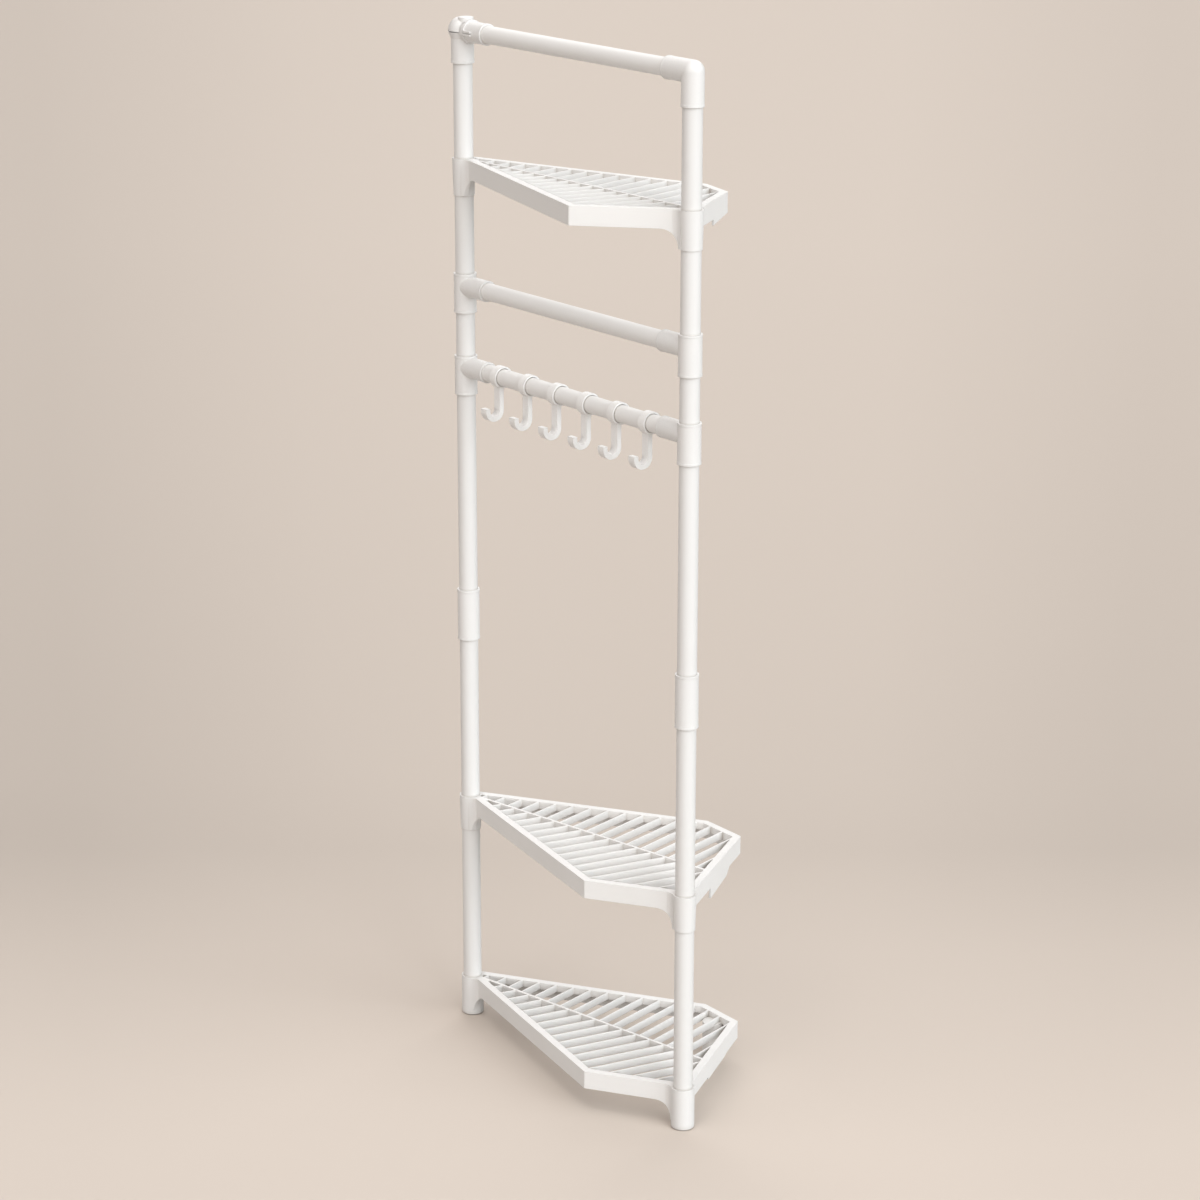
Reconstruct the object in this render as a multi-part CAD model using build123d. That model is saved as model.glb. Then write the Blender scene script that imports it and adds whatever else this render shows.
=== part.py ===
from build123d import *
import math
import os

os.makedirs("parts", exist_ok=True)

# A corner coat rack: two tube posts, three slatted plastic shelves, a top bar,
# a hanger bar and a hook bar with ring hooks. Millimetres, +Z up, +X along the
# bars from the left post to the right post, +Y towards the room corner.

# Tubes
POST_SPACING = 511.0
POST_OD = 28.0
BAR_OD = 25.4
TUBE_WALL = 1.2

# Sockets that take the tubes
SLIP = 0.08
SOCKET_WALL = 2.5
BEAD_RISE = 0.35
BEAD_LENGTH = 3.0
STOP_LENGTH = 4.0
STOP_REACH = 2.5

# Heights above the floor
BOTTOM_SHELF_TOP = 63.0
MIDDLE_SHELF_TOP = 363.0
COUPLING_MIDDLE = 654.0
HOOK_TEE_BOTTOM = 995.0
HANGER_TEE_BOTTOM = 1118.0
TOP_SHELF_TOP = 1345.0
TOP_SOCKET_BOTTOM = 1482.0
TOP_BAR_RISE = 46.0

# Couplings and tees
COUPLING_LENGTH = 78.0
TEE_LENGTH = 58.0
HOOK_TEE_SHOULDER = 1.8
HANGER_TEE_SHOULDER = 3.8
BRANCH_REACH = 55.0
BRANCH_SOCKET = 30.0
TEE_FILLET = 1.2

# Elbow at the top of the right post
ELBOW_WALL = 1.7
ELBOW_SOCKET = 28.0
ELBOW_REACH = 50.0

# Capped joint at the top of the left post
JOINT_REACH = 60.0
JOINT_STOP = 17.0
JOINT_FLARE = 4.0
JOINT_FLARE_HEIGHT = 9.0
JOINT_FLANGE_AT = 20.0
JOINT_FLANGE_LENGTH = 4.0
JOINT_FLANGE_RISE = 2.2
EAR_LENGTH = 17.0
EAR_HEIGHT = 7.0
EAR_REACH = 2.8
CAP_SLIT = 1.4
CAP_GAP = 0.3
CAP_FLAT = 18.4
CAP_BUTTON_RADIUS = 11.0
CAP_BUTTON_RISE = 1.8
CAP_BUTTON_SHIFT = 8.5
CAP_BUTTON_ROUND = 0.8
CAP_PLUG_RADIUS = 5.0
CAP_PLUG_LENGTH = 7.0
CAP_PLUG_SHIFT = 11.0

# Shelf mouldings
COLLAR_HEIGHT = 54.0
COLLAR_TOP_WALL = 2.9
COLLAR_END_WALL = 1.3
FOOT_FLOOR = 6.0
FOOT_CHAMFER = 1.5
RIM_WIDTH = 11.0
RIM_HEIGHT = 27.0
SKIN = 2.5
CORNER_RADIUS = 3.0
SLAT_DEPTH = 11.0
SLAT_THICKNESS = 2.4
RIB_THICKNESS = 4.0
SLAT_LEAN = 13.0
FRONT_SLAT_PITCH = 25.0
BACK_SLAT_PITCH = 26.6
FRONT_SLAT_START = 10.0
BACK_SLAT_START = 23.0
SMALLEST_POCKET = 30.0
GUSSET_RADIUS = 26.0
BLEND_RADIUS = 18.0
BLEND_SINK = 0.3
LEFT_BACK_EDGE = 16.0
LEFT_FRONT_EDGE = 2.0
RIGHT_EDGE_X = 7.0
RIGHT_EDGE_Y = 4.0
LARGE_TAB_NEAR = 96.0
SMALL_TAB_NEAR = 76.0
TAB_FAR = 188.0
TAB_SLOPE = 16.0

# Shelf outlines along X and Y: front and right corners from the right post's
# axis, and the chamfer from the right corner to the back one. Tabs are given by
# where they start beyond the post, and by their depths there and at the far end.
LARGE_FRONT_CORNER = (-128.0, -81.0)
LARGE_BACK_CORNER = (-120.0, 209.0)
LARGE_CHAMFER = (-78.0, 2.0)
SMALL_FRONT_CORNER = (-123.0, -112.0)
SMALL_BACK_CORNER = (-70.0, 124.0)
SMALL_CHAMFER = (-62.0, 15.0)
BOTTOM_TAB = (LARGE_TAB_NEAR, 4.0, 2.5)
MIDDLE_TAB = (LARGE_TAB_NEAR, 16.0, 10.0)
TOP_TAB = (SMALL_TAB_NEAR, 8.0, 2.0)

# Foot under the back corner of the bottom shelf
CORNER_FOOT_RADIUS = 15.0
CORNER_FOOT_MARGIN = 3.0

# Hooks
HOOK_COUNT = 6
HOOK_END_GAP = 24.0
HOOK_WIDTH = 13.0
HOOK_PLAY = 0.7
HOOK_RING_WALL = 2.7
HOOK_STRIP = 7.5
HOOK_BEND = 8.5
HOOK_DROP = 47.5
HOOK_TIP = 4.0

# Sizes that follow from those above
LEFT_X = -POST_SPACING / 2
RIGHT_X = POST_SPACING / 2
POST_RADIUS = POST_OD / 2
BAR_RADIUS = BAR_OD / 2
POST_BORE = POST_RADIUS + SLIP
BAR_BORE = BAR_RADIUS + SLIP
POST_SOCKET = POST_BORE + SOCKET_WALL
BAR_SOCKET = BAR_BORE + SOCKET_WALL
COLLAR_TOP_RADIUS = POST_BORE + COLLAR_TOP_WALL
COLLAR_END_RADIUS = POST_BORE + COLLAR_END_WALL
ELBOW_RADIUS = POST_BORE + ELBOW_WALL
HOOK_BRANCH_Z = TEE_LENGTH - HOOK_TEE_SHOULDER - BAR_SOCKET
HANGER_BRANCH_Z = TEE_LENGTH - HANGER_TEE_SHOULDER - BAR_SOCKET
HOOK_BAR_Z = HOOK_TEE_BOTTOM + HOOK_BRANCH_Z
HANGER_BAR_Z = HANGER_TEE_BOTTOM + HANGER_BRANCH_Z
HOOK_RUN = POST_SPACING - 2 * (BRANCH_REACH + HOOK_END_GAP) - HOOK_WIDTH
HOOK_PITCH = HOOK_RUN / (HOOK_COUNT - 1)
TOP_BAR_Z = TOP_SOCKET_BOTTOM + TOP_BAR_RISE
JOINT_RADIUS = POST_SOCKET + JOINT_FLARE
BEYOND = 2 * POST_SPACING
UPWARD = (Align.CENTER, Align.CENTER, Align.MIN)
ALONG_X = Rotation(0, 90, 0)


def rod(radius, length):
    """A cylinder that stands on the origin."""
    return Cylinder(radius, length, align=UPWARD)


def tube(diameter, length):
    """A tube that stands on the origin."""
    return rod(diameter / 2, length) - rod(diameter / 2 - TUBE_WALL, length)


def beaded(radius, length):
    """A socket's outside, with a raised bead at its mouth, from the origin up."""
    bead = Pos(0, 0, length - BEAD_LENGTH) * rod(radius + BEAD_RISE, BEAD_LENGTH)
    return rod(radius, length) + bead


def sleeve_bore(length):
    """The hollow of a sleeve that takes a tube from each end up to a stop ring."""
    half = (length - STOP_LENGTH) / 2
    upper = Pos(0, 0, length - half) * rod(POST_BORE, half)
    return rod(POST_BORE, half) + upper + rod(POST_BORE - STOP_REACH, length)


def coupling():
    """A straight sleeve that joins two tubes of a post."""
    half = COUPLING_LENGTH / 2
    upper = Pos(0, 0, half) * beaded(POST_SOCKET, half)
    lower = Pos(0, 0, half) * Rotation(180, 0, 0) * beaded(POST_SOCKET, half)
    return upper + lower - sleeve_bore(COUPLING_LENGTH)


def tee(branch_height):
    """A sleeve on a post with a socket for a bar that points along +X."""
    collar = rod(POST_SOCKET, TEE_LENGTH)
    branch = Pos(0, 0, branch_height) * ALONG_X * rod(BAR_SOCKET, BRANCH_REACH)
    body = collar + branch
    body = fillet(new_edges(collar, branch, combined=body), TEE_FILLET)
    mouth = Pos(BRANCH_REACH - BEAD_LENGTH, 0, branch_height) * ALONG_X
    body += mouth * rod(BAR_SOCKET + BEAD_RISE, BEAD_LENGTH)
    body += Pos(0, 0, TEE_LENGTH - BEAD_LENGTH) * rod(POST_SOCKET + BEAD_RISE, BEAD_LENGTH)
    body += rod(POST_SOCKET + BEAD_RISE, BEAD_LENGTH)
    socket = Pos(BRANCH_REACH - BRANCH_SOCKET, 0, branch_height) * ALONG_X
    body -= socket * rod(BAR_BORE, BRANCH_SOCKET)
    return body - sleeve_bore(TEE_LENGTH)


def elbow():
    """A corner with a ball-shaped top that joins the right post to the top bar, on the post's axis."""
    mouth = Pos(-ELBOW_REACH, 0, TOP_BAR_RISE) * ALONG_X
    body = rod(ELBOW_RADIUS, TOP_BAR_RISE) + Pos(0, 0, TOP_BAR_RISE) * Sphere(ELBOW_RADIUS)
    body += mouth * rod(ELBOW_RADIUS, ELBOW_REACH)
    body += rod(ELBOW_RADIUS + BEAD_RISE, BEAD_LENGTH)
    body += mouth * rod(ELBOW_RADIUS + BEAD_RISE, BEAD_LENGTH)
    body -= rod(POST_BORE, ELBOW_SOCKET)
    return body - mouth * rod(BAR_BORE, ELBOW_SOCKET)


def joint_branch(extra):
    """The outside of the top joint's bar socket, grown by extra all round."""
    axis = Pos(-extra, 0, TOP_BAR_RISE) * ALONG_X
    flange = Pos(JOINT_FLANGE_AT - extra, 0, TOP_BAR_RISE) * ALONG_X
    flange_radius = BAR_SOCKET + JOINT_FLANGE_RISE + extra
    branch = axis * rod(BAR_SOCKET + extra, JOINT_REACH + extra)
    return branch + flange * rod(flange_radius, JOINT_FLANGE_LENGTH + 2 * extra)


def joint_ear():
    """The slotted ear on the front of the top joint's bar socket, beside the flange."""
    outward = (Align.MIN, Align.MAX, Align.CENTER)
    start = JOINT_FLANGE_AT + JOINT_FLANGE_LENGTH
    ear = Box(EAR_LENGTH, SOCKET_WALL + EAR_REACH, EAR_HEIGHT, align=outward)
    slot = Pos(0, -SOCKET_WALL, 0) * Box(EAR_LENGTH, EAR_REACH, CAP_SLIT, align=outward)
    return Pos(start, -BAR_BORE, TOP_BAR_RISE) * (ear - slot)


def top_joint():
    """The hub at the top of the left post, with its socket for the top bar."""
    rim = TOP_BAR_RISE - CAP_SLIT
    flare = rim - JOINT_FLARE_HEIGHT
    edge = [(0, 0), (POST_SOCKET, 0), (POST_SOCKET, flare), (JOINT_RADIUS, rim), (0, rim)]
    hub = revolve(Plane.XZ * make_face(Polyline(*edge, close=True)), axis=Axis.Z)
    hub += rod(POST_SOCKET + BEAD_RISE, BEAD_LENGTH)
    hub += joint_branch(0)
    hub += joint_ear()
    mouth = Pos(JOINT_REACH - BEAD_LENGTH, 0, TOP_BAR_RISE) * ALONG_X
    hub += mouth * rod(BAR_SOCKET + BEAD_RISE, BEAD_LENGTH)
    socket = Pos(JOINT_REACH - BRANCH_SOCKET, 0, TOP_BAR_RISE) * ALONG_X
    hub -= socket * rod(BAR_BORE, BRANCH_SOCKET)
    plug_hole = rod(CAP_PLUG_RADIUS + SLIP, CAP_PLUG_LENGTH)
    hub -= Pos(-CAP_PLUG_SHIFT, 0, rim - CAP_PLUG_LENGTH) * plug_hole
    return hub - rod(POST_BORE, TOP_BAR_RISE - JOINT_STOP)


def top_joint_cap():
    """The domed cap over the hub, with a flat button on top, held by a plug.

    It is cut out round the bar socket.
    """
    dome = Sphere(JOINT_RADIUS, arc_size1=0, align=UPWARD) & rod(JOINT_RADIUS, CAP_FLAT)
    button = rod(CAP_BUTTON_RADIUS, CAP_FLAT + CAP_BUTTON_RISE)
    button = fillet(button.edges().group_by(Axis.Z)[-1], CAP_BUTTON_ROUND)
    dome += Pos(CAP_BUTTON_SHIFT, 0, 0) * button
    dome = Pos(0, 0, TOP_BAR_RISE) * dome - joint_branch(CAP_GAP)
    drop = CAP_PLUG_LENGTH + CAP_SLIT
    return dome + Pos(-CAP_PLUG_SHIFT, 0, TOP_BAR_RISE - drop) * rod(CAP_PLUG_RADIUS, drop + SKIN)


def shelf_corners(front, back, chamfer):
    """The shelf's outline in plan, from the left post round by the back."""
    right = (RIGHT_X + back[0], back[1])
    return {
        "left_back": (LEFT_X, LEFT_BACK_EDGE),
        "back": (right[0] + chamfer[0], right[1] + chamfer[1]),
        "right": right,
        "post": (RIGHT_X + RIGHT_EDGE_X, RIGHT_EDGE_Y),
        "front": (RIGHT_X + front[0], front[1]),
        "left_front": (LEFT_X, -LEFT_FRONT_EDGE),
    }


def heading(start, end):
    """The direction in degrees from one plan point to another."""
    return math.degrees(math.atan2(end[1] - start[1], end[0] - start[0]))


def slat_row(lean, start, pitch, half_plane):
    """Parallel slats in plan, measured from the left post, cut off at the rib."""
    turn = Pos(LEFT_X, 0) * Rot(0, 0, lean)
    slat = Rectangle(SLAT_THICKNESS, 2 * BEYOND)
    row = [turn * Pos(start + k * pitch, 0) * slat for k in range(int(BEYOND / pitch))]
    return (Sketch() + row) & half_plane


def pockets(corners, inner):
    """The openings of a shelf: two rows that meet at a rib from the left post."""
    back_heading = heading(corners["left_back"], corners["back"])
    front_heading = heading(corners["left_front"], corners["front"])
    along_rib = Pos(LEFT_X, 0) * Rot(0, 0, (back_heading + front_heading) / 2)
    half = Rectangle(2 * BEYOND, BEYOND)
    back_half = along_rib * Pos(0, BEYOND / 2) * half
    front_half = along_rib * Pos(0, -BEYOND / 2) * half
    rib = along_rib * Rectangle(2 * BEYOND, RIB_THICKNESS)
    back_row = slat_row(SLAT_LEAN, BACK_SLAT_START, BACK_SLAT_PITCH, back_half)
    front_row = slat_row(-SLAT_LEAN, FRONT_SLAT_START, FRONT_SLAT_PITCH, front_half)
    openings = inner - rib - back_row - front_row
    return Sketch() + [face for face in openings.faces() if face.area > SMALLEST_POCKET]


def wall_web(start, end, edge, thickness):
    """A web under a wall, drawn along the line from start to end and up from the wall's foot.

    It is thick to the right of that line, or to the left where thickness is negative.
    """
    along = Vector(end[0] - start[0], end[1] - start[1], 0)
    side = along.cross(Vector(0, 0, 1))
    plane = Plane(origin=(start[0], start[1], -RIM_HEIGHT), x_dir=along, z_dir=side)
    return extrude(plane * make_face(edge), amount=thickness)


def gusset(x, start, end, rise, thickness):
    """A web where a wall runs out of the collar of the post at x.

    It is curved below, and stands up to a rise above the wall's foot.
    """
    along = (Vector(*end) - Vector(*start)).normalized()
    to_axis = Vector(x, 0) - Vector(*start)
    beside = to_axis.cross(along).length
    edge = to_axis.dot(along) + math.sqrt(COLLAR_TOP_RADIUS**2 - beside**2)
    reach = edge + GUSSET_RADIUS
    lowest = (edge, -GUSSET_RADIUS)
    straight = Polyline((reach, 0), (reach, rise), (0, rise), (0, -GUSSET_RADIUS), lowest)
    curve = RadiusArc(lowest, (reach, 0), GUSSET_RADIUS)
    return wall_web(start, end, [straight, curve], thickness)


def collar_blend(x, start, end, side):
    """A hollow-rounded corner between a wall's outside and the collar of the post at x.

    The outside is to the right of the line from start to end where side is 1, or to the left where it is -1.
    """
    along = (Vector(*end) - Vector(*start)).normalized()
    out = along.cross(Vector(0, 0, 1)) * side
    axis = Vector(x, 0)
    to_axis = axis - Vector(*start)
    rise = BLEND_RADIUS - BLEND_SINK
    reach = math.sqrt((COLLAR_TOP_RADIUS + BLEND_RADIUS) ** 2 - (rise - to_axis.dot(out)) ** 2)
    centre = Vector(*start) + along * (to_axis.dot(along) + reach) + out * rise
    foot = centre - out * BLEND_RADIUS
    corner = make_face(Polyline(axis, foot, centre, close=True)) - Pos(centre) * Circle(BLEND_RADIUS)
    block = extrude(corner, -RIM_HEIGHT - GUSSET_RADIUS)
    return block & gusset(x, start, end, RIM_HEIGHT, side * BLEND_RADIUS)


def right_tab(corners, tab):
    """The tab that hangs below the right wall, deepest at its end near the post."""
    start, end = corners["post"], corners["right"]
    near, near_depth, far_depth = tab
    far = min(TAB_FAR, math.dist(start, end))
    knee = min(TAB_FAR - TAB_SLOPE, far)
    edge = [(near, SKIN), (near, -near_depth), (knee, -far_depth), (far, 0), (far, SKIN)]
    return wall_web(start, end, Polyline(*edge, close=True), -SKIN)


def shelf(corners, tab, collar):
    """A slatted shelf moulding with its top at the origin's height."""
    points = list(corners.values())
    sharp = make_face(Polyline(*points, close=True))
    outline = make_face(FilletPolyline(*points, radius=CORNER_RADIUS, close=True))
    inside_skin = offset(sharp, -SKIN, kind=Kind.INTERSECTION)
    channel = inside_skin - offset(sharp, SKIN - RIM_WIDTH, kind=Kind.INTERSECTION)
    inner = offset(sharp, -RIM_WIDTH, kind=Kind.INTERSECTION)
    body = extrude(outline, -RIM_HEIGHT)
    body -= Pos(0, 0, -SLAT_DEPTH) * extrude(inside_skin, SLAT_DEPTH - RIM_HEIGHT)
    body -= Pos(0, 0, -SKIN) * extrude(channel, SKIN - SLAT_DEPTH)
    body -= extrude(pockets(corners, inner), -SLAT_DEPTH)
    body += gusset(LEFT_X, corners["left_front"], corners["front"], SKIN, -SKIN)
    body += gusset(RIGHT_X, corners["post"], corners["front"], SKIN, SKIN)
    body += collar_blend(LEFT_X, corners["left_front"], corners["front"], 1)
    body += collar_blend(RIGHT_X, corners["post"], corners["front"], -1)
    body += right_tab(corners, tab)
    return body + [Pos(x, 0, 0) * collar for x in (LEFT_X, RIGHT_X)]


def collared_shelf(corners, tab):
    """A shelf that hangs on the posts by tapered collars open at both ends."""
    down = (Align.CENTER, Align.CENTER, Align.MAX)
    collar = Cone(COLLAR_END_RADIUS, COLLAR_TOP_RADIUS, COLLAR_HEIGHT, align=down)
    bore = Pos(0, 0, -COLLAR_HEIGHT) * sleeve_bore(COLLAR_HEIGHT)
    return shelf(corners, tab, collar) - [Pos(x, 0, 0) * bore for x in (LEFT_X, RIGHT_X)]


def footed_shelf(corners, tab):
    """The lowest shelf: its collars are closed below and stand on the floor."""
    collar = rod(COLLAR_TOP_RADIUS, BOTTOM_SHELF_TOP)
    collar = Pos(0, 0, -BOTTOM_SHELF_TOP) * chamfer(collar.edges().group_by(Axis.Z)[0], FOOT_CHAMFER)
    bore = Pos(0, 0, FOOT_FLOOR - BOTTOM_SHELF_TOP) * rod(POST_BORE, BOTTOM_SHELF_TOP - FOOT_FLOOR)
    body = shelf(corners, tab, collar)
    edge = Vector(*corners["right"]) - Vector(*corners["back"])
    middle = (Vector(*corners["right"]) + Vector(*corners["back"])) / 2
    centre = middle + Vector(edge.Y, -edge.X).normalized() * (CORNER_FOOT_RADIUS + CORNER_FOOT_MARGIN)
    height = BOTTOM_SHELF_TOP - SLAT_DEPTH + SKIN
    place = Pos(centre.X, centre.Y, -BOTTOM_SHELF_TOP)
    body += place * rod(CORNER_FOOT_RADIUS, height)
    body -= place * rod(CORNER_FOOT_RADIUS - SKIN, height - SKIN)
    return body - [Pos(x, 0, 0) * bore for x in (LEFT_X, RIGHT_X)]


def hook():
    """A ring round the bar and a J below it, open to the front, on the bar's axis."""
    outer = HOOK_BEND + HOOK_STRIP
    ring = Circle(BAR_RADIUS + HOOK_PLAY + HOOK_RING_WALL)
    top = (Align.MAX, Align.MAX)
    shank = Rectangle(HOOK_STRIP, HOOK_DROP, align=top)
    bend = Pos(-outer, -HOOK_DROP) * (Circle(outer) - Circle(HOOK_BEND))
    bend &= Pos(-outer, -HOOK_DROP) * Rectangle(2 * outer, outer, align=(Align.CENTER, Align.MAX))
    tip = Pos(-2 * outer, -HOOK_DROP) * Rectangle(HOOK_STRIP, HOOK_TIP, align=(Align.MIN, Align.MIN))
    profile = ring + shank + bend + tip - Circle(BAR_RADIUS + HOOK_PLAY)
    return extrude(Plane.YZ * profile, HOOK_WIDTH / 2, both=True)


def post_tubes(top):
    """Each tube of a post by its bottom and top height, from the floor up."""
    stops = [
        MIDDLE_SHELF_TOP - COLLAR_HEIGHT / 2,
        COUPLING_MIDDLE,
        HOOK_TEE_BOTTOM + TEE_LENGTH / 2,
        HANGER_TEE_BOTTOM + TEE_LENGTH / 2,
        TOP_SHELF_TOP - COLLAR_HEIGHT / 2,
    ]
    bottoms = [FOOT_FLOOR] + [stop + STOP_LENGTH / 2 for stop in stops]
    tops = [stop - STOP_LENGTH / 2 for stop in stops] + [top]
    return list(zip(bottoms, tops))


def bar(start, end, height):
    """A bar along X between two sockets."""
    return Pos(start, 0, height) * ALONG_X * tube(BAR_OD, end - start)


def assemble():
    """Every piece in its place, by name, with the midpoint of the posts at the origin."""
    pieces = {}
    large = shelf_corners(LARGE_FRONT_CORNER, LARGE_BACK_CORNER, LARGE_CHAMFER)
    small = shelf_corners(SMALL_FRONT_CORNER, SMALL_BACK_CORNER, SMALL_CHAMFER)
    pieces["bottom_shelf"] = Pos(0, 0, BOTTOM_SHELF_TOP) * footed_shelf(large, BOTTOM_TAB)
    pieces["middle_shelf"] = Pos(0, 0, MIDDLE_SHELF_TOP) * collared_shelf(large, MIDDLE_TAB)
    pieces["top_shelf"] = Pos(0, 0, TOP_SHELF_TOP) * collared_shelf(small, TOP_TAB)

    tube_tops = {
        "left": TOP_BAR_Z - JOINT_STOP,
        "right": TOP_SOCKET_BOTTOM + ELBOW_SOCKET,
    }
    for side, x, turn in (("left", LEFT_X, 0), ("right", RIGHT_X, 180)):
        for number, (low, high) in enumerate(post_tubes(tube_tops[side]), start=1):
            pieces[f"{side}_post_tube_{number}"] = Pos(x, 0, low) * tube(POST_OD, high - low)
        facing = Rot(0, 0, turn)
        pieces[f"{side}_coupling"] = Pos(x, 0, COUPLING_MIDDLE - COUPLING_LENGTH / 2) * coupling()
        pieces[f"{side}_hook_tee"] = Pos(x, 0, HOOK_TEE_BOTTOM) * facing * tee(HOOK_BRANCH_Z)
        pieces[f"{side}_hanger_tee"] = Pos(x, 0, HANGER_TEE_BOTTOM) * facing * tee(HANGER_BRANCH_Z)
    pieces["top_joint"] = Pos(LEFT_X, 0, TOP_SOCKET_BOTTOM) * top_joint()
    pieces["top_joint_cap"] = Pos(LEFT_X, 0, TOP_SOCKET_BOTTOM) * top_joint_cap()
    pieces["top_elbow"] = Pos(RIGHT_X, 0, TOP_SOCKET_BOTTOM) * elbow()

    socket_floor = BRANCH_REACH - BRANCH_SOCKET
    pieces["hook_bar"] = bar(LEFT_X + socket_floor, RIGHT_X - socket_floor, HOOK_BAR_Z)
    pieces["hanger_bar"] = bar(LEFT_X + socket_floor, RIGHT_X - socket_floor, HANGER_BAR_Z)
    top_start = LEFT_X + JOINT_REACH - BRANCH_SOCKET
    top_end = RIGHT_X - ELBOW_REACH + ELBOW_SOCKET
    pieces["top_bar"] = bar(top_start, top_end, TOP_BAR_Z)
    for k in range(HOOK_COUNT):
        x = (k - (HOOK_COUNT - 1) / 2) * HOOK_PITCH
        pieces[f"hook_{k + 1}"] = Pos(x, 0, HOOK_BAR_Z) * hook()
    return pieces


# The origin is on the floor, under the middle of the rack's bounding box
rack = assemble()
box = Compound(list(rack.values())).bounding_box()
to_origin = Pos(-box.center().X, -box.center().Y, -box.min.Z)
for name, piece in rack.items():
    export_step(to_origin * piece, f"parts/{name}.step")
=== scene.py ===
import math

import bpy
from mathutils import Matrix, Vector


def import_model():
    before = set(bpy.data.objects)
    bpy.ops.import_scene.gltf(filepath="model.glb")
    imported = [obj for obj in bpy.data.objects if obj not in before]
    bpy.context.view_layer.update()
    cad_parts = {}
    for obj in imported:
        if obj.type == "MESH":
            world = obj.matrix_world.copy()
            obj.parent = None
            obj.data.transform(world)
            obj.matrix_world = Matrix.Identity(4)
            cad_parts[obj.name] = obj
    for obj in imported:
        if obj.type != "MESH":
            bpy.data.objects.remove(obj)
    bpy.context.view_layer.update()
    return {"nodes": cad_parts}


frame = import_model()
scene = bpy.context.scene
nodes = frame["nodes"]

# Camera: its place in metres, its turn, and its focal length in pixels of a square frame
CAMERA_AT = (3.575, -2.856, 2.164)
CAMERA_YAW = math.radians(51.37)
CAMERA_PITCH = math.radians(17.43)
CAMERA_ROLL = math.radians(0.09)
FOCAL_PIXELS = 3300.0
FRAME_PIXELS = 1200.0
SENSOR_WIDTH = 36.0
NEAREST_SEEN = 0.1
FARTHEST_SEEN = 200.0

# Lamps: the direction each shines from, its strength, colour and width in degrees
LAMPS = {
    "key": ((0.932, 0.121, 0.342), 3.05, (0.95, 0.985, 1.0), 60.0),
    "fill": ((0.363, -0.928, 0.087), 0.95, (1.0, 0.95, 0.91), 20.0),
    "front": ((0.120, -0.480, 0.869), 1.2, (1.0, 0.94, 0.90), 60.0),
    "top": ((0.100, 0.050, 0.994), 0.6, (1.0, 0.95, 0.92), 60.0),
    "back": ((-0.650, 0.500, 0.572), 1.4, (1.0, 0.97, 0.95), 60.0),
}
WORLD_COLOR = (0.93, 0.90, 0.87, 1.0)
WORLD_STRENGTH = 0.08

# Floor: its half width and how far it lies under the feet, in metres, and its surface
FLOOR_REACH = 60.0
FLOOR_DROP = 0.0004
FLOOR_COLOR = (0.58, 0.518, 0.464)
FLOOR_ROUGHNESS = 0.9
FLOOR_GLOSS = 0.1

# The floor's painted shade by distance beyond the rack along the camera's heading, in metres: lighter near
# the rack, with a darker band a little beyond it
FLOOR_SHADES = ((-0.3, 1.12), (0.4, 1.035), (0.85, 0.93), (1.2, 0.955), (3.6, 1.0), (6.2, 1.03))

# Its painted shade by slope to the left or right of that heading, seen from the camera's place, darker
# towards the sides.
# The share of it that counts grows over a range of distances beyond the rack.
FLOOR_SIDES = ((-0.17, 0.865), (-0.09, 0.97), (-0.045, 1.0), (0.09, 1.0), (0.17, 0.92))
SIDES_NEAREST = 3.0
SIDES_RANGE = (-0.2, 1.0)
SIDES_SHARE = (0.3, 1.0)

# The share of the floor's colour in the light that it throws back on the rack
FLOOR_BOUNCE = 0.6

# White plastic: soft changes of tone, and a fine grain in its gloss and its surface
TONE_SCALE = 7.0
TONE_DETAIL = 3.0
TONE_RANGE = (0.35, 0.65)
GRAIN_DETAIL = 4.0
GRAIN_RANGE = (0.3, 0.7)
ROUGH_CHANGE = 0.06
BUMP_FINENESS = 3.0
BUMP_DETAIL = 2.0
BUMP_HEIGHT = 0.0002
PLASTIC_GLOSS = 0.2

# Painted shade that darkens its corners, by how open they are
CORNER_SHADE_COLOR = (0.42, 0.38, 0.33)
CORNER_SHADE_RANGE = (0.35, 0.95)
CORNER_SHADE_SAMPLES = 8

# Wear on its edges, by how far their rounding, in metres, turns the surface
WORN_COLOR = (0.885, 0.882, 0.876)
EDGE_WEAR = 0.5
EDGE_RADIUS = 0.0007
EDGE_RANGE = (0.80, 0.99)
EDGE_SAMPLES = 4
EDGE_SMOOTHER = 0.10

# The post tubes' colour, painted darker than the bars' though both are one coat: painted shade that keeps
# their lit sides below white. The shelves' collars are painted as grey as the tubes in them, the same
# painted shade, up to a radius where the grey has faded
DIMMED_TUBE_COLOR = (0.775, 0.773, 0.767)
COLLAR_SHADE_FADE = (0.0175, 0.023)
COLLAR_TUBES = ("left_post_tube_1", "right_post_tube_1")


def camera():
    """A camera with no shift, set by its yaw round +Z, its pitch down and its roll."""
    data = bpy.data.cameras.new("camera")
    data.sensor_fit = "HORIZONTAL"
    data.sensor_width = SENSOR_WIDTH
    data.lens = SENSOR_WIDTH * FOCAL_PIXELS / FRAME_PIXELS
    data.clip_start = NEAREST_SEEN
    data.clip_end = FARTHEST_SEEN
    made = bpy.data.objects.new("camera", data)
    turn = Matrix.Rotation(CAMERA_YAW, 4, "Z") @ Matrix.Rotation(math.pi / 2 - CAMERA_PITCH, 4, "X")
    made.matrix_world = Matrix.Translation(CAMERA_AT) @ turn @ Matrix.Rotation(CAMERA_ROLL, 4, "Z")
    scene.collection.objects.link(made)
    scene.camera = made


def sun(name, source, strength, color, width):
    """A far, soft lamp that shines from the given direction."""
    data = bpy.data.lights.new(name, "SUN")
    data.energy = strength
    data.color = color
    data.angle = math.radians(width)
    made = bpy.data.objects.new(name, data)
    made.rotation_mode = "QUATERNION"
    made.rotation_quaternion = Vector(source).to_track_quat("Z", "Y")
    scene.collection.objects.link(made)


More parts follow.
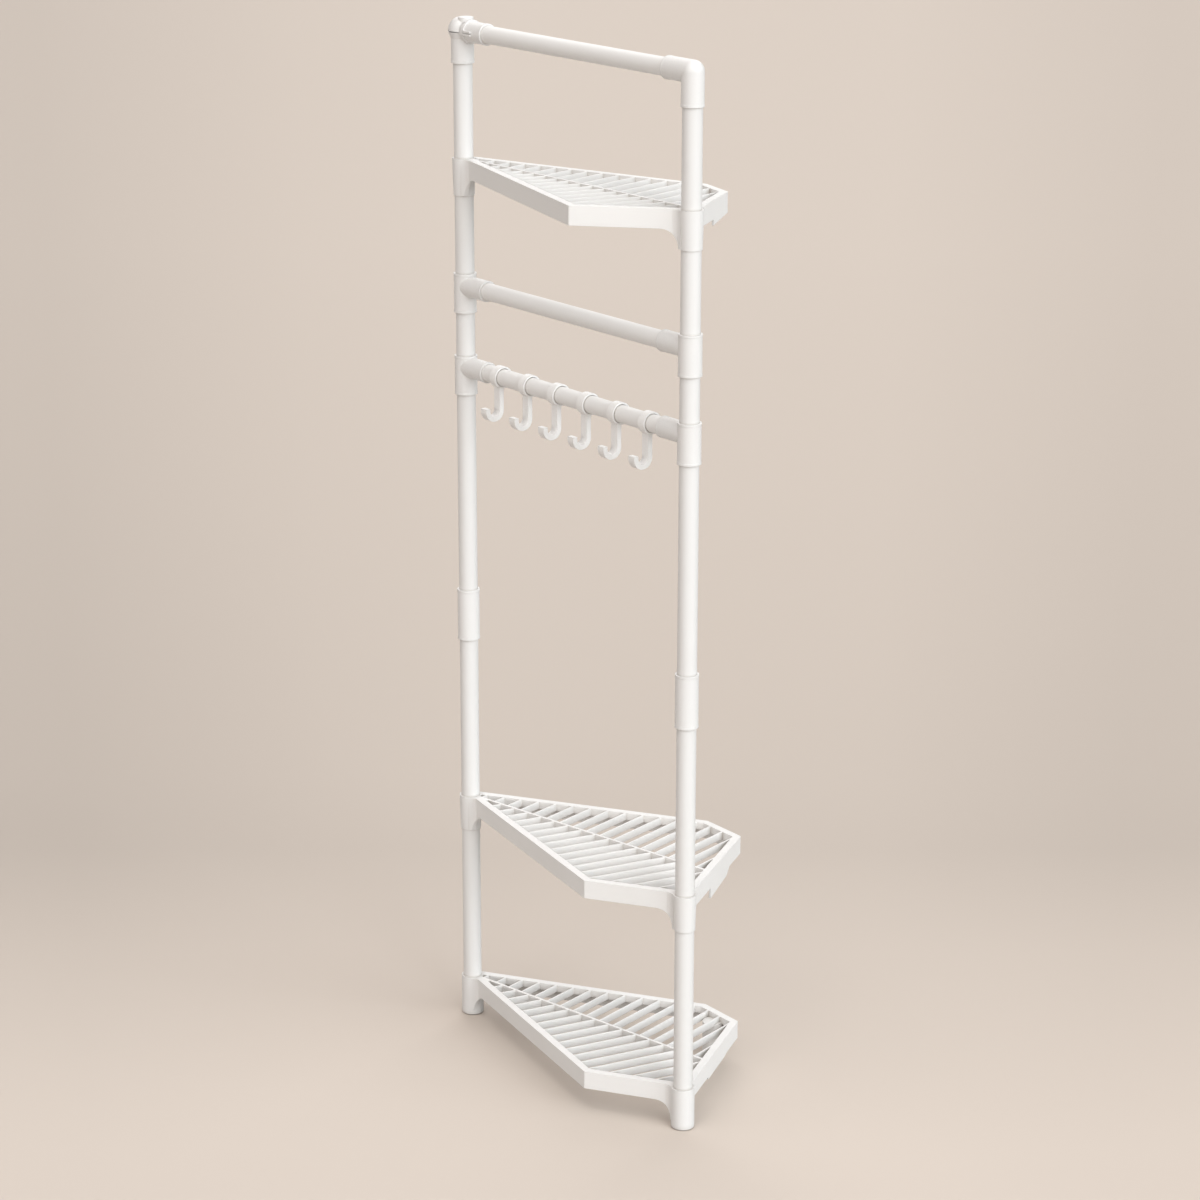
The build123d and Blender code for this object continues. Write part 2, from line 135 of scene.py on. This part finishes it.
def world():
    """An even, slightly warm surround."""
    made = bpy.data.worlds.new("surround")
    made.use_nodes = True
    background = made.node_tree.nodes["Background"]
    background.inputs["Color"].default_value = WORLD_COLOR
    background.inputs["Strength"].default_value = WORLD_STRENGTH
    scene.world = made


class Tree:
    """A new material's node tree, with short ways to add and join nodes."""

    def __init__(self, name):
        self.material = bpy.data.materials.new(name)
        self.material.use_nodes = True
        self.nodes = self.material.node_tree.nodes
        self.shader = self.nodes["Principled BSDF"]

    def add(self, kind, **settings):
        """A new node, where each setting is one of its properties or else an input's value."""
        node = self.nodes.new(kind)
        for key, value in settings.items():
            if hasattr(node, key):
                setattr(node, key, value)
            else:
                node.inputs[key].default_value = value
        return node

    def join(self, source, target):
        """A link from an output to an input."""
        self.material.node_tree.links.new(source, target)

    def ramp(self, value, stops):
        """A colour ramp from (value, colour) stops."""
        low, high = stops[0][0], stops[-1][0]
        node = self.add("ShaderNodeValToRGB")
        elements = node.color_ramp.elements
        for stop in stops[1:-1]:
            elements.new((stop[0] - low) / (high - low))
        for element, stop in zip(elements, stops):
            element.color = (*stop[1], 1.0)
        self.join(self.spread(value, low, high, 0.0, 1.0), node.inputs["Fac"])
        return node.outputs["Color"]

    def spread(self, value, low, high, to_low, to_high):
        """A value carried from one range to another."""
        node = self.add("ShaderNodeMapRange")
        for name, number in zip(("From Min", "From Max", "To Min", "To Max"), (low, high, to_low, to_high)):
            node.inputs[name].default_value = number
        self.join(value, node.inputs["Value"])
        return node.outputs["Result"]

    def math(self, operation, first, second):
        """The result of an operation on two values, where the second may be a number."""
        node = self.add("ShaderNodeMath", operation=operation)
        self.join(first, node.inputs[0])
        if isinstance(second, float):
            node.inputs[1].default_value = second
        else:
            self.join(second, node.inputs[1])
        return node.outputs["Value"]

    def along(self, place, direction):
        """How far a place lies along a direction."""
        node = self.add("ShaderNodeVectorMath", operation="DOT_PRODUCT")
        self.join(place, node.inputs[0])
        node.inputs[1].default_value = direction
        return node.outputs["Value"]

    def from_axis(self, place, axis):
        """How far a place lies from an upright axis."""
        offset = self.add("ShaderNodeVectorMath", operation="SUBTRACT")
        self.join(place, offset.inputs[0])
        offset.inputs[1].default_value = (*axis, 0.0)
        flat = self.add("ShaderNodeVectorMath", operation="MULTIPLY")
        self.join(offset.outputs["Vector"], flat.inputs[0])
        flat.inputs[1].default_value = (1.0, 1.0, 0.0)
        radius = self.add("ShaderNodeVectorMath", operation="LENGTH")
        self.join(flat.outputs["Vector"], radius.inputs[0])
        return radius.outputs["Value"]

    def mix(self, share, color, other):
        """A colour mixed with a share of another, fixed one."""
        node = self.add("ShaderNodeMix", data_type="RGBA")
        self.join(share, node.inputs["Factor"])
        self.join(color, node.inputs["A"])
        node.inputs["B"].default_value = (*other, 1.0)
        return node.outputs["Result"]


def floor():
    """A wide plain floor with painted shade that changes softly with distance and to the sides."""
    mesh = bpy.data.meshes.new("floor")
    corners = [(-FLOOR_REACH, -FLOOR_REACH, 0.0), (FLOOR_REACH, -FLOOR_REACH, 0.0)]
    corners += [(FLOOR_REACH, FLOOR_REACH, 0.0), (-FLOOR_REACH, FLOOR_REACH, 0.0)]
    mesh.from_pydata(corners, [], [(0, 1, 2, 3)])
    made = bpy.data.objects.new("floor", mesh)
    made.location.z = -FLOOR_DROP
    scene.collection.objects.link(made)
    mesh.materials.append(floor_paper())


def floor_paper():
    """The floor's matt colour, with painted shade along and beside the camera's heading."""
    tree = Tree("floor_paper")
    place = tree.add("ShaderNodeTexCoord").outputs["Object"]
    ahead = Vector((-math.sin(CAMERA_YAW), math.cos(CAMERA_YAW), 0.0))
    right = Vector((ahead.y, -ahead.x, 0.0))
    beyond = tree.along(place, ahead)
    depth = tree.math("ADD", beyond, -ahead.dot(Vector(CAMERA_AT)))
    depth = tree.math("MAXIMUM", depth, SIDES_NEAREST)
    slope = tree.math("DIVIDE", tree.along(place, right), depth)
    painted_depth_shades = [(distance, [shade * part for part in FLOOR_COLOR]) for distance, shade in FLOOR_SHADES]
    sides = [(side, [shade] * 3) for side, shade in FLOOR_SIDES]
    shaded = tree.add("ShaderNodeMix", data_type="RGBA", blend_type="MULTIPLY")
    tree.join(tree.spread(beyond, *SIDES_RANGE, *SIDES_SHARE), shaded.inputs["Factor"])
    tree.join(tree.ramp(beyond, painted_depth_shades), shaded.inputs["A"])
    tree.join(tree.ramp(slope, sides), shaded.inputs["B"])
    path = tree.add("ShaderNodeLightPath").outputs
    seen = tree.math("MAXIMUM", path["Is Camera Ray"], path["Is Glossy Ray"])
    seen = tree.math("MAXIMUM", seen, path["Is Transmission Ray"])
    shown = tree.add("ShaderNodeVectorMath", operation="SCALE")
    tree.join(shaded.outputs["Result"], shown.inputs["Vector"])
    tree.join(tree.spread(seen, 0.0, 1.0, FLOOR_BOUNCE, 1.0), shown.inputs["Scale"])
    tree.join(shown.outputs["Vector"], tree.shader.inputs["Base Color"])
    tree.shader.inputs["Roughness"].default_value = FLOOR_ROUGHNESS
    tree.shader.inputs["Specular IOR Level"].default_value = FLOOR_GLOSS
    return tree.material


def white_plastic(
    name, color, shade, rough, grain, bump, corner_shade=0.10, reach=0.010, stretch=(1.0, 1.0, 1.0), shaded_collars=()
):
    """White plastic: soft tone changes, fine grain, painted shade in its corners, paler and smoother edges.
    """
    tree = Tree(name)
    place = tree.add("ShaderNodeTexCoord").outputs["Object"]
    mapping = tree.add("ShaderNodeMapping", Scale=stretch)
    tree.join(place, mapping.inputs["Vector"])

    def noise(scale, detail):
        node = tree.add("ShaderNodeTexNoise", Scale=scale, Detail=detail)
        tree.join(mapping.outputs["Vector"], node.inputs["Vector"])
        return node.outputs["Fac"]

    # Its colour, with collars painted grey and its corners darkened, both painted shade
    tone = tree.ramp(noise(TONE_SCALE, TONE_DETAIL), list(zip(TONE_RANGE, (shade, color))))
    for axis in shaded_collars:
        collar_shade = tree.spread(tree.from_axis(place, axis), *COLLAR_SHADE_FADE, 1.0, 0.0)
        tone = tree.mix(collar_shade, tone, DIMMED_TUBE_COLOR)
    corner = tree.add("ShaderNodeAmbientOcclusion", Distance=reach, samples=CORNER_SHADE_SAMPLES)
    tone = tree.mix(tree.spread(corner.outputs["AO"], *CORNER_SHADE_RANGE, corner_shade, 0.0), tone, CORNER_SHADE_COLOR)

    # Worn edges, where a rounded surface turns away from the true one
    rounded = tree.add("ShaderNodeBevel", Radius=EDGE_RADIUS, samples=EDGE_SAMPLES).outputs["Normal"]
    facing = tree.add("ShaderNodeVectorMath", operation="DOT_PRODUCT")
    tree.join(rounded, facing.inputs[0])
    tree.join(tree.add("ShaderNodeNewGeometry").outputs["Normal"], facing.inputs[1])
    worn = tree.spread(facing.outputs["Value"], *EDGE_RANGE, EDGE_WEAR, 0.0)
    tree.join(tree.mix(worn, tone, WORN_COLOR), tree.shader.inputs["Base Color"])

    # Its gloss and its grain
    gloss = tree.spread(
        noise(grain, GRAIN_DETAIL), *GRAIN_RANGE, rough - ROUGH_CHANGE, rough + ROUGH_CHANGE
    )
    gloss = tree.math("SUBTRACT", gloss, tree.spread(worn, 0.0, EDGE_WEAR, 0.0, EDGE_SMOOTHER))
    tree.join(gloss, tree.shader.inputs["Roughness"])
    tree.shader.inputs["Specular IOR Level"].default_value = PLASTIC_GLOSS
    lift = tree.add("ShaderNodeBump", Strength=bump, Distance=BUMP_HEIGHT)
    tree.join(noise(grain * BUMP_FINENESS, BUMP_DETAIL), lift.inputs["Height"])
    tree.join(rounded, lift.inputs["Normal"])
    tree.join(lift.outputs["Normal"], tree.shader.inputs["Normal"])
    return tree.material


def upright_axis(node):
    """Where an upright tube's axis stands, half way across its mesh."""
    places = [vertex.co for vertex in nodes[node].data.vertices]
    across = [place.x for place in places]
    deep = [place.y for place in places]
    return (min(across) + max(across)) / 2, (min(deep) + max(deep)) / 2


def dress(node, material):
    """Gives a CAD node its material."""
    piece = nodes[node]
    piece.data.materials.clear()
    piece.data.materials.append(material)


# Posts and bars share one real coat. The posts' coat is painted darker, a painted shade that keeps their
# lit sides below white. The darkening in corners set below is painted shade.
tube_coat = white_plastic(
    "tube_coat", DIMMED_TUBE_COLOR, (0.752, 0.749, 0.741), rough=0.36, grain=900.0, bump=0.10,
    corner_shade=0.7, reach=0.004, stretch=(1.0, 1.0, 0.05),
)
bar_coat = white_plastic(
    "bar_coat", (0.83, 0.828, 0.822), (0.805, 0.802, 0.793), rough=0.36, grain=900.0, bump=0.10,
    corner_shade=0.7, reach=0.004, stretch=(0.05, 1.0, 1.0),
)
joint_plastic = white_plastic(
    "joint_plastic", (0.785, 0.783, 0.777), (0.766, 0.762, 0.755), rough=0.30, grain=700.0, bump=0.12,
)
shelf_plastic = white_plastic(
    "shelf_plastic", (0.835, 0.832, 0.825), (0.81, 0.806, 0.797), rough=0.46, grain=1100.0, bump=0.25,
    corner_shade=0.55, shaded_collars=[upright_axis(tube) for tube in COLLAR_TUBES],
)
# The hooks' plastic is painted paler: painted light that makes up for the shade the bar and the other hooks
# cast on them.
hook_plastic = white_plastic(
    "hook_plastic", (0.875, 0.873, 0.868), (0.858, 0.855, 0.848), rough=0.28, grain=800.0, bump=0.10,
)

for name in nodes:
    if name.endswith("_shelf"):
        dress(name, shelf_plastic)
    elif "_post_tube_" in name:
        dress(name, tube_coat)
    elif name.endswith("_bar"):
        dress(name, bar_coat)
    elif name.startswith("hook_"):
        dress(name, hook_plastic)
    else:
        dress(name, joint_plastic)

scene.view_settings.view_transform = "Standard"
world()
for name, lamp in LAMPS.items():
    sun(name, *lamp)
floor()
camera()
